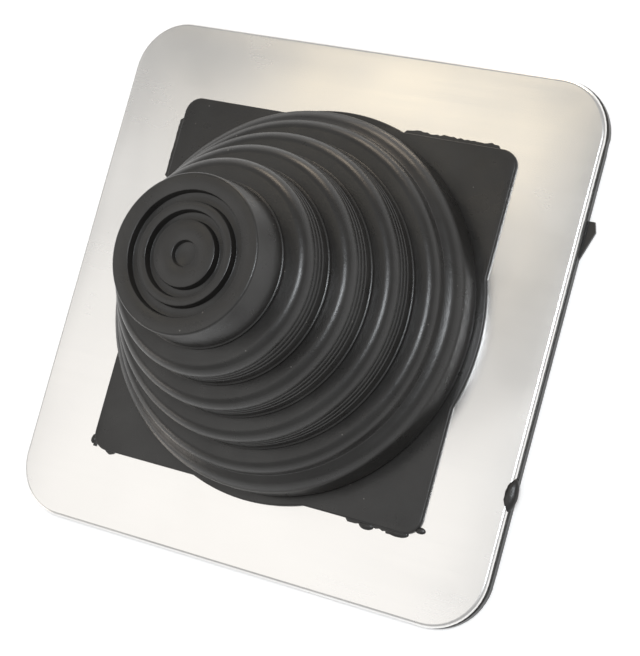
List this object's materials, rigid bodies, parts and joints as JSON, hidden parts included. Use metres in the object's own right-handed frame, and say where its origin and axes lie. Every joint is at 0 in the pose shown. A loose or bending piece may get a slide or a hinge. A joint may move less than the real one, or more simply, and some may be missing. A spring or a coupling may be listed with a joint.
{
  "type": "pipe flashing boot",
  "caption": "Stepped rubber cone on a square soft aluminium flange, which seals a round pipe where it comes through a roof.",
  "frame": {"origin": "on the cone's axis, in the plane of the underside that lies on the roof", "axes": "+Z along the cone's axis, out of the roof; +X and +Y along the flange's sides, with the small moulding tag on the +X side"},
  "size_m": [0.2065, 0.2022, 0.0914],
  "materials": {
    "moulded_rubber": "matte black moulded rubber",
    "soft_aluminium": "satin rolled sheet"
  },
  "bodies": {
    "root": {"rubber_boot": "moulded_rubber", "aluminium_flange": "soft_aluminium"}
  },
  "joints": []
}
